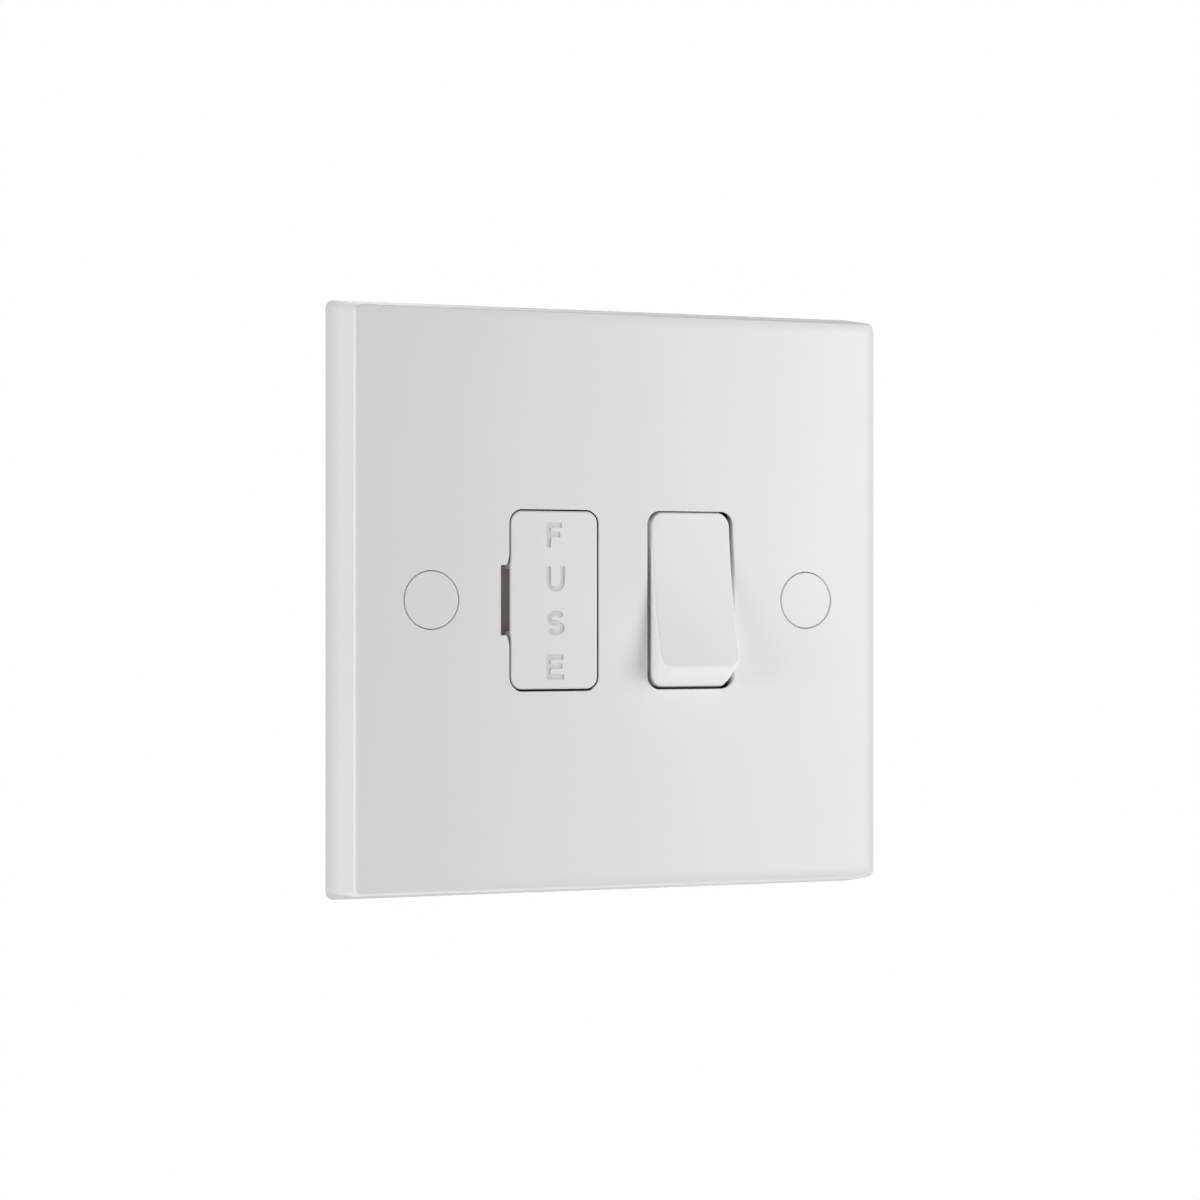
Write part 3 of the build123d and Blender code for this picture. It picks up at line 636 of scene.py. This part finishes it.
@dataclass
class FuseDrawer:
    """Pull-out carrier with its engraved word, and the cartridge fuse and clips behind it.

    Attributes:
        cap_height: Height of a letter.
        stroke: Mean width of its strokes.
        depth: Depth of the engraving.
        draft: How much each wall of a stroke leans outwards over half that depth.
        left_of_middle: How far the letters' left edge is from the carrier's middle.
        pitch: Height from one letter to the next.
        top_place: Z of the top letter's middle.
        curve_points: Points on each arc of a letter.
        f_arms: Lengths of the F's top and middle arms.
        f_waist: Height of its middle arm above the letter's middle.
        u_radius: Radius of the U's bowl.
        s_radius: Half the width of the S, along the middle of its stroke.
        s_upper: Degrees through which its upper arc turns.
        s_lower: Degrees through which its lower arc turns.
        e_arms: Lengths of the E's top, middle and bottom arms.
        e_waist: Height of its middle arm above the letter's middle.
        sunk_shares: Shares of the depth between which a face belongs to a letter.
    """

    cap_height: float = 3.65
    stroke: float = 0.78
    depth: float = 0.2
    draft: float = 0.04
    left_of_middle: float = 1.3
    pitch: float = 6.37
    top_place: float = 9.42
    curve_points: int = 25
    f_arms: tuple[float, float] = (2.5, 2.25)
    f_waist: float = 0.08
    u_radius: float = 1.1
    s_radius: float = 1.075
    s_upper: tuple[float, float] = (20.0, 270.0)
    s_lower: tuple[float, float] = (90.0, -160.0)
    e_arms: tuple[float, float, float] = (2.75, 2.6, 2.85)
    e_waist: float = 0.12
    sunk_shares: tuple[float, float] = (0.05, 1.05)

    def letters(self) -> dict[str, list[np.ndarray]]:
        """Draw four plain letters by the middle lines of their strokes.

        Straight strokes have two points. The U's bowl is a half circle. The S is two arcs of ellipses that
        meet at the letter's middle.

        Returns:
            Paths of X from the letter's left edge and Z from its middle, in millimetres.
        """
        edge = self.stroke / 2
        top = self.cap_height / 2
        arm = top - edge
        stem = np.array([(edge, -top), (edge, top)])
        bowl = self.u_radius
        turn = np.linspace(pi, 2 * pi, self.curve_points)
        rim = np.stack((edge + bowl + bowl * np.cos(turn), -arm + bowl + bowl * np.sin(turn)), axis=-1)
        cup = np.concatenate(([(edge, top)], rim, [(edge + 2 * bowl, top)]))
        wide = self.s_radius
        tall = arm / 2
        upper = np.radians(np.linspace(*self.s_upper, self.curve_points))
        lower = np.radians(np.linspace(*self.s_lower, self.curve_points))[1:]
        centre = np.concatenate((np.full(upper.shape, tall), np.full(lower.shape, -tall)))
        swing = np.concatenate((upper, lower))
        snake = np.stack((edge + wide + wide * np.cos(swing), centre + tall * np.sin(swing)), axis=-1)

        def bar(length: float, height: float) -> np.ndarray:
            """Return a level stroke from the left edge."""
            return np.array([(0.0, height), (length, height)])

        return {
            "F": [stem, *map(bar, self.f_arms, (arm, self.f_waist))],
            "U": [cup],
            "S": [snake],
            "E": [stem, *map(bar, self.e_arms, (arm, self.e_waist, -arm))],
        }

    def etch(self, carrier: bpy.types.Object, face: float, left: float) -> None:
        """Give the sunk faces of the letters their own finish, rougher and greyer with painted shade.

        Args:
            carrier: The engraved carrier.
            face: Y of its front, in millimetres.
            left: X of the letters' left edge, in millimetres.
        """
        centres = np.array([polygon.center for polygon in carrier.data.polygons]) / MM
        first, last = (face + share * self.depth for share in self.sunk_shares)
        sunk = (centres[:, 1] > first) & (centres[:, 1] < last)
        near = (centres[:, 0] > left - self.stroke) & (centres[:, 0] < left + self.cap_height)
        # The letter floors get a rougher finish with painted shade
        carrier.data.materials.append(ETCHED_SHADED_POLYCARBONATE.material())
        carrier.data.polygons.foreach_set("material_index", (sunk & near).astype(np.int32))

    def build(self) -> None:
        """Engrave a merged copy of the carrier, and dress the fuse and its clips."""
        low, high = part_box("fuse_carrier")
        face = low.y / MM
        left = (low.x + high.x) / 2 / MM - self.left_of_middle
        mesh = frame["nodes"]["fuse_carrier"].data.copy()
        shell = bmesh.new()
        shell.from_mesh(mesh)
        bmesh.ops.remove_doubles(shell, verts=shell.verts, dist=MERGE_MM * MM)
        shell.to_mesh(mesh)
        shell.free()
        carrier = bpy.data.objects.new("engraved_fuse_carrier", mesh)
        bpy.context.scene.collection.objects.link(carrier)
        cutters = []
        for line, strokes in enumerate(self.letters().values()):
            corner = np.array((left, self.top_place - line * self.pitch))
            cutters += [
                trough(path + corner, face - self.depth, face + self.depth, self.stroke, self.draft)
                for path in strokes
            ]
        carve(carrier, cutters)
        shade(carrier)
        enter(carrier, WHITE_POLYCARBONATE, "fuse_drawer", "white_plastic", "fuse_carrier")
        self.etch(carrier, face, left)
        dress(FIRED_CERAMIC, "fuse_barrel")
        dress(NICKEL_PLATE, "fuse_end_caps")
        dress(ROLLED_BRONZE, "lower_fuse_clip", "upper_fuse_clip")


@dataclass
class Switch:
    """Rocker, and for each pole a sprung plunger and a seesaw contact.

    Attributes:
        wire_r: Radius of the springs' wire.
        coil_r: Radius of a coil, to the middle of the wire.
        turns: Coils in a spring.
        end_closing: How far the end coils are closed up: nought is even, and one is shut.
        path_points: Points along the wire.
        wire_sides: Sides of the wire's section.
        poles: The switch's poles, as they begin the names of its nodes.
        end_painted_shade_tone: Painted shade on the rocker's lower end, inside the plate.
        end_painted_shade_z: Z where that painted shade starts and where it is full.
    """

    wire_r: float = 0.2
    coil_r: float = 1.2
    turns: float = 6.0
    end_closing: float = 0.55
    path_points: int = 193
    wire_sides: int = 12
    poles: tuple[str, ...] = ("live", "neutral")
    end_painted_shade_tone: str = "#5A5552"
    end_painted_shade_z: tuple[float, float] = (-12.5, -12.9)

    def spring(self, pole: str) -> None:
        """Wind one spring of round wire along its plunger's slide, with its end coils closed up.

        The middle line is a helix whose height h(u) = u - k sin(2 pi u) / (2 pi) gains slowly at both ends.
        The wire is a circle carried along it, across the line's direction.

        Args:
            pole: Which pole the spring belongs to.
        """
        joint = next(each for each in frame["joints"] if each["name"] == f"{pole}_plunger_slide")
        axis = np.array(joint["axis"]) / np.linalg.norm(joint["axis"])
        side = np.array((1.0, 0.0, 0.0))
        up = np.cross(axis, side)
        node = frame["nodes"][f"{pole}_spring"]
        points = np.array([vertex.co for vertex in node.data.vertices])
        middle = (points.min(axis=0) + points.max(axis=0)) / 2
        reach = (points - middle) @ axis
        length = np.ptp(reach) - 2 * self.wire_r * MM
        share = np.linspace(0, 1, self.path_points)
        height = share - self.end_closing * np.sin(2 * pi * share) / (2 * pi)
        turn = 2 * pi * self.turns * share
        around = np.cos(turn)[:, None] * side + np.sin(turn)[:, None] * up
        line = middle + around * self.coil_r * MM + ((height - 0.5) * length)[:, None] * axis
        along = np.gradient(line, axis=0)
        along /= np.linalg.norm(along, axis=1, keepdims=True)
        over = np.cross(along, around)
        phase = np.linspace(0, 2 * pi, self.wire_sides, endpoint=False)
        ring = np.cos(phase)[:, None] * around[:, None, :] + np.sin(phase)[:, None] * over[:, None, :]
        coil = tube_mesh(f"{pole}_wound_spring", line[:, None, :] + self.wire_r * MM * ring)
        shade(coil)
        enter(coil, SPRING_WIRE, "switch_rocker", "spring_steel", f"{pole}_spring")
        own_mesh(coil)

    def build(self) -> None:
        """Wind both springs and dress the other pieces, with painted shade on the rocker's lower end."""
        finish = WHITE_POLYCARBONATE
        # Painted shade on the rocker's lower end, inside the plate
        zones = (Band(self.end_painted_shade_tone, {"Z": self.end_painted_shade_z}),)
        dress(replace(finish, name=f"{finish.name}_with_painted_end_shade", zones=zones), "rocker")
        dress(RIVETED_SILVER, "fixed_contact_tips")
        for pole in self.poles:
            self.spring(pole)
            dress(NATURAL_NYLON, f"{pole}_plunger")
            dress(ROLLED_BRONZE, f"{pole}_moving_contact")
            dress(RIVETED_SILVER, f"{pole}_moving_tip")


@dataclass
class RearHousing:
    """Charcoal base behind the plate, with the brass that carries the wires.

    Attributes:
        finish: Surface of the base.
        brass: Surface of the terminal blocks and the link.
        terminals: The blocks, as their nodes' names begin.
    """

    finish: Finish = CHARCOAL_PHENOLIC
    brass: Finish = DRAWN_BRASS
    terminals: tuple[str, ...] = ("mains_live", "mains_neutral", "load_live", "load_neutral", "earth")

    def dress(self) -> None:
        """Give the base, the terminal blocks and the link their finishes."""
        dress(self.finish, "rear_housing")
        dress(self.brass, *(f"{each}_terminal" for each in self.terminals), "live_link")


@dataclass
class ScrewSet:
    """Slotted pan-head screws of one size, in the place of one CAD node.

    Attributes:
        node: CAD node that the screws stand for.
        finish: Surface of the screws.
        slot: Material slot of the record.
        faces_rear: True where the heads are at the rear.
        head_r: Radius of the head.
        head_height: Height of the head.
        shank_r: Radius over the thread's crests.
        length: Length under the head.
        pitch: Rise of the thread in one turn.
        neck_r: Radius of a plain neck under the head.
        neck: Length of that neck.
        slot_width: Width of the driver's slot.
        slot_depth: Its depth at the top of the head.
        slot_reach: Length of its cutter on each side, in radii of the head.
        head_power: Power of the head's superellipse. Two is round, and more is squarer.
        head_lean: Angle of the head's inmost row, in degrees. A flat face closes it.
        head_rows: Rows of points on the head.
        thread_share: Depth of the thread in pitches.
        thread_slope: Rise of the thread's flanks in one pitch, in depths. The crest cuts them off at one.
        thread_root: How far below the root the flanks start, in depths, which leaves the root flat.
        run_in: Length under the head without a thread where there is no neck, in pitches.
        neck_end: How far before the thread the neck ends, in pitches.
        tip_bevel: Bevel at the tip.
        rows_a_turn: Rows of points in one turn of the thread.
        columns: Points round the screw.
        spread: Width in which the CAD vertices of one screw lie, in radii of the head.
    """

    node: str
    finish: Finish
    slot: str
    faces_rear: bool
    head_r: float
    head_height: float
    shank_r: float
    length: float
    pitch: float
    neck_r: float = 0.0
    neck: float = 0.0
    slot_width: float = 0.9
    slot_depth: float = 0.9
    slot_reach: float = 1.2
    head_power: float = 3.0
    head_lean: float = 89.0
    head_rows: int = 16
    thread_share: float = 0.6
    thread_slope: float = 2.6
    thread_root: float = 0.15
    run_in: float = 0.25
    neck_end: float = 0.125
    tip_bevel: float = 0.55
    rows_a_turn: int = 8
    columns: int = 36
    spread: float = 2.2

    def surface(self) -> np.ndarray:
        """Work out the turned surface of one screw, seated at the origin with its shank towards +Y.

        The head is a superellipse, r = R cos(a)^(2/n) and y = -H sin(a)^(2/n). The thread is a wave on the
        shank, r = root + depth * ridge(y / pitch - angle / 2 pi), where ridge rises and falls evenly between
        a flat root and a flat crest. It fades in under the neck and is cut off by the bevel at the tip.

        Returns:
            Points in millimetres, as an array of rows by columns by three.
        """
        angle = np.linspace(0, 2 * pi, self.columns, endpoint=False)
        lean = np.linspace(radians(self.head_lean), 0, self.head_rows)
        head_at = -self.head_height * np.sin(lean) ** (2 / self.head_power)
        head_out = self.head_r * np.cos(lean) ** (2 / self.head_power)
        depth = self.thread_share * self.pitch
        root = self.shank_r - depth
        neck_r = self.neck_r or root
        start = self.neck or self.run_in * self.pitch
        rows = int(self.rows_a_turn * (self.length - start) / self.pitch)
        down = np.linspace(start, self.length, rows)
        wave = (down[:, None] / self.pitch - angle[None, :] / (2 * pi)) % 1.0
        ridge = np.clip(self.thread_slope * (0.5 - np.abs(wave - 0.5)) - self.thread_root, 0, 1)
        fade = np.clip((down - start) / self.pitch, 0, 1)[:, None]
        limit = self.shank_r - np.clip(down - self.length + self.tip_bevel, 0, None)[:, None]
        thread = np.minimum(root + depth * ridge * fade, limit)
        out = np.concatenate((
            np.tile(head_out[:, None], (1, self.columns)),
            np.full((2, self.columns), neck_r),
            thread,
        ))
        at = np.concatenate((head_at, (0.0, start - self.neck_end * self.pitch), down))
        at = np.tile(at[:, None], (1, self.columns))
        return np.stack((out * np.cos(angle), at, out * np.sin(angle)), axis=-1)

    def places(self) -> list[tuple[float, float]]:
        """Find where the CAD screws sit, from the loose solids of their node.

        Vertices that lie within the spread of each other across Y belong to one screw.

        Returns:
            X and Z of each screw, in millimetres.
        """
        vertices = frame["nodes"][self.node].data.vertices
        spots = np.array([vertex.co for vertex in vertices])[:, [0, 2]] / MM
        found: list[tuple[float, float]] = []
        while len(spots):
            group = np.linalg.norm(spots - spots[0], axis=1) < self.spread * self.head_r
            centre = (spots[group].min(axis=0) + spots[group].max(axis=0)) / 2
            found.append((float(centre[0]), float(centre[1])))
            spots = spots[~group]
        return found

    def build(self) -> None:
        """Turn, slot and place each screw, with the slots at different angles as a driver leaves them."""
        low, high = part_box(self.node)
        seat = high.y / MM - self.head_height if self.faces_rear else low.y / MM + self.head_height
        flip = -1.0 if self.faces_rear else 1.0
        surface = self.surface() * np.array((1.0, flip, flip))
        above = seat - flip * (self.head_height + self.slot_depth)
        below = seat - flip * (self.head_height - self.slot_depth)
        reach = self.slot_reach * self.head_r
        for number, (x, z) in enumerate(self.places()):
            name = f"{self.node[:-1]}_{number + 1}"
            screw = tube_mesh(name, MM * (surface + np.array((x, seat, z))))
            turn = GOLDEN_TURN * (number + 1)
            path = np.array((x, z)) + reach * np.array(((cos(turn), sin(turn)), (-cos(turn), -sin(turn))))
            carve(screw, [trough(path, above, below, self.slot_width)])
            shade(screw)
            enter(screw, self.finish, "base", self.slot, self.node)


@dataclass(frozen=True)
class SoftBox:
    """Square area lamp.

    Attributes:
        name: What the lamp does.
        place: Where it stands, in millimetres.
        size: Side of its square face, in millimetres.
        power: Watts.
        aim: What it points at, in millimetres.
    """

    name: str
    place: tuple[float, float, float]
    size: float
    power: float
    aim: tuple[float, float, float] = (0.0, 0.0, 0.0)

    def hang(self) -> None:
        """Put the lamp in the scene."""
        lamp = bpy.data.lights.new(self.name, "AREA")
        lamp.shape = "SQUARE"
        lamp.size = self.size * MM
        lamp.energy = self.power
        holder = bpy.data.objects.new(self.name, lamp)
        holder.location = Vector(self.place) * MM
        ahead = Vector(self.aim) - Vector(self.place)
        holder.rotation_euler = ahead.to_track_quat("-Z", "Y").to_euler()
        bpy.context.scene.collection.objects.link(holder)


@dataclass
class Studio:
    """White studio with the photograph's camera, soft lamps and a pale floor below the picture.

    Attributes:
        turn: Degrees by which the camera stands to the left of the plate's middle.
        rise: Degrees by which it stands above it.
        distance: How far it stands from the origin, in millimetres.
        lens: Focal length on a sensor of the default width, in millimetres.
        aim_right: How far right of the origin it looks, in millimetres.
        aim_up: How far above the origin it looks, in millimetres.
        nearest: How near to the camera a thing may be and still show, in millimetres.
        ambient: Strength of the room's light on surfaces. The camera and reflections see white.
        floor_drop: How far the floor is below the origin, in millimetres.
        floor_r: Radius of the floor, in millimetres.
        floor_hub: Radius of its inmost ring, in millimetres.
        floor_fade: Width of its fading rim, in millimetres.
        floor_rings: Rings of points on the floor.
        floor_sides: Points on each ring.
        floor_tone: Tone of its paint.
        floor_rough: Roughness of its paint.
        lamps: The area lamps.
    """

    turn: float = 24.56
    rise: float = -0.12
    distance: float = 512.94
    lens: float = 103.64
    aim_right: float = 0.239
    aim_up: float = 0.039
    nearest: float = 10.0
    ambient: float = 0.15
    floor_drop: float = 260.0
    floor_r: float = 700.0
    floor_hub: float = 1.0
    floor_fade: float = 200.0
    floor_rings: int = 12
    floor_sides: int = 96
    floor_tone: str = "#F4F4F3"
    floor_rough: float = 0.8
    lamps: tuple[SoftBox, ...] = (
        SoftBox("key_from_right", place=(190.0, -190.0, 60.0), size=160.0, power=0.485),
        SoftBox("left_rim", place=(-900.0, -180.0, 60.0), size=450.0, power=4.65),
        SoftBox("low_fill", place=(60.0, -60.0, -245.0), size=160.0, power=0.295),
        SoftBox("rear_fill", place=(0.0, 420.0, 200.0), size=300.0, power=1.5),
    )

    def camera(self) -> None:
        """Stand the camera where the photograph was taken from."""
        turn, rise = radians(self.turn), radians(self.rise)
        ahead = Vector((sin(turn) * cos(rise), cos(turn) * cos(rise), -sin(rise)))
        right = ahead.cross(Vector((0, 0, 1))).normalized()
        aim = (right * self.aim_right + right.cross(ahead) * self.aim_up) * MM
        lens = bpy.data.cameras.new("camera")
        lens.lens = self.lens
        lens.clip_start = self.nearest * MM
        viewer = bpy.data.objects.new("camera", lens)
        viewer.location = -ahead * self.distance * MM
        viewer.rotation_euler = (aim - viewer.location).to_track_quat("-Z", "Y").to_euler()
        bpy.context.scene.collection.objects.link(viewer)
        bpy.context.scene.camera = viewer

    def world(self) -> None:
        """Fill the room with even light, and show it as white to the camera and in reflections."""
        world = bpy.data.worlds.new("white_studio")
        bpy.context.scene.world = world
        world.use_nodes = True
        tree = world.node_tree
        tree.nodes.clear()
        ray = add_node(tree, "ShaderNodeLightPath")
        mirrored = add_node(
            tree, "ShaderNodeMath", {0: ray.outputs["Is Glossy Ray"], 1: ray.outputs["Is Transmission Ray"]},
            operation="MAXIMUM",
        )
        seen = add_node(
            tree, "ShaderNodeMath", {0: ray.outputs["Is Camera Ray"], 1: mirrored.outputs[0]},
            operation="MAXIMUM",
        )
        level = add_node(
            tree, "ShaderNodeMapRange", {"Value": seen.outputs[0], "To Min": self.ambient, "To Max": 1.0}
        )
        glow = add_node(
            tree, "ShaderNodeBackground", {"Color": linear("#FFFFFF"), "Strength": level.outputs["Result"]}
        )
        add_node(tree, "ShaderNodeOutputWorld", {"Surface": glow.outputs["Background"]})

    def floor(self) -> None:
        """Lay a pale disc below the picture, whose rim fades into the white room.

        Its points are rings about Z: x = r cos(a) and y = r sin(a), at one height. One face closes the inmost
        ring.
        """
        shape = (self.floor_rings, self.floor_sides)
        radii = np.linspace(self.floor_hub, self.floor_r, self.floor_rings)
        angle = np.linspace(0, 2 * pi, self.floor_sides, endpoint=False)
        flat = np.full(shape, -self.floor_drop)
        grid = np.stack((np.outer(radii, np.cos(angle)), np.outer(radii, np.sin(angle)), flat), axis=-1)
        index = np.arange(flat.size).reshape(shape)
        beside = np.roll(index, -1, axis=1)
        quads = np.stack((index[:-1], index[1:], beside[1:], beside[:-1]), axis=-1).reshape(-1, 4)
        mesh = bpy.data.meshes.new("floor")
        mesh.from_pydata((MM * grid.reshape(-1, 3)).tolist(), [], quads.tolist() + [index[0].tolist()])
        disc = bpy.data.objects.new("floor", mesh)
        bpy.context.scene.collection.objects.link(disc)
        mesh.materials.append(self.floor_paint())

    def floor_paint(self) -> bpy.types.Material:
        """Mix a matt off-white paint that turns transparent towards the disc's rim.

        Returns:
            The new material.
        """
        paint = bpy.data.materials.new("matt_white_paint")
        paint.use_nodes = True
        tree = paint.node_tree
        shader = tree.nodes["Principled BSDF"]
        shader.inputs["Base Color"].default_value = linear(self.floor_tone)
        shader.inputs["Roughness"].default_value = self.floor_rough
        place = add_node(tree, "ShaderNodeTexCoord")
        flat = add_node(
            tree, "ShaderNodeVectorMath", {0: place.outputs["Object"], 1: (1.0, 1.0, 0.0)},
            operation="MULTIPLY",
        )
        away = add_node(tree, "ShaderNodeVectorMath", {0: flat.outputs["Vector"]}, operation="LENGTH")
        solid = add_node(
            tree, "ShaderNodeMapRange",
            {"Value": away.outputs["Value"], "From Min": (self.floor_r - self.floor_fade) * MM,
             "From Max": self.floor_r * MM, "To Min": 1.0, "To Max": 0.0},
            interpolation_type="SMOOTHSTEP",
        )
        tree.links.new(solid.outputs["Result"], shader.inputs["Alpha"])
        return paint

    def build(self) -> None:
        """Set up the camera, the room, the floor and the lamps."""
        bpy.context.scene.view_settings.view_transform = "Standard"
        self.camera()
        self.world()
        self.floor()
        for lamp in self.lamps:
            lamp.hang()
        log.info("studio has %d lamps", len(self.lamps))


def main() -> None:
    """Build and dress the unit piece by piece."""
    logging.basicConfig(level=logging.INFO, format="%(name)s: %(message)s")
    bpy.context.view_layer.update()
    Studio().build()
    FrontPlate().dress()
    FuseDrawer().build()
    Switch().build()
    RearHousing().dress()
    screws = (
        ScrewSet(
            "fixing_screws", ZINC_PLATE, "zinc_steel", faces_rear=False, head_r=3.3, head_height=2.0,
            shank_r=1.75, length=25.0, pitch=0.6, neck_r=1.5, neck=5.08,
        ),
        ScrewSet(
            "assembly_screws", ZINC_PLATE, "zinc_steel", faces_rear=True, head_r=2.6, head_height=1.8,
            shank_r=1.4, length=9.95, pitch=1.0,
        ),
        ScrewSet(
            "terminal_screws", TURNED_BRASS, "brass", faces_rear=True, head_r=2.7, head_height=2.0,
            shank_r=1.95, length=4.2, pitch=0.7,
        ),
    )
    for screw_set in screws:
        screw_set.build()


if __name__ == "__main__":
    main()
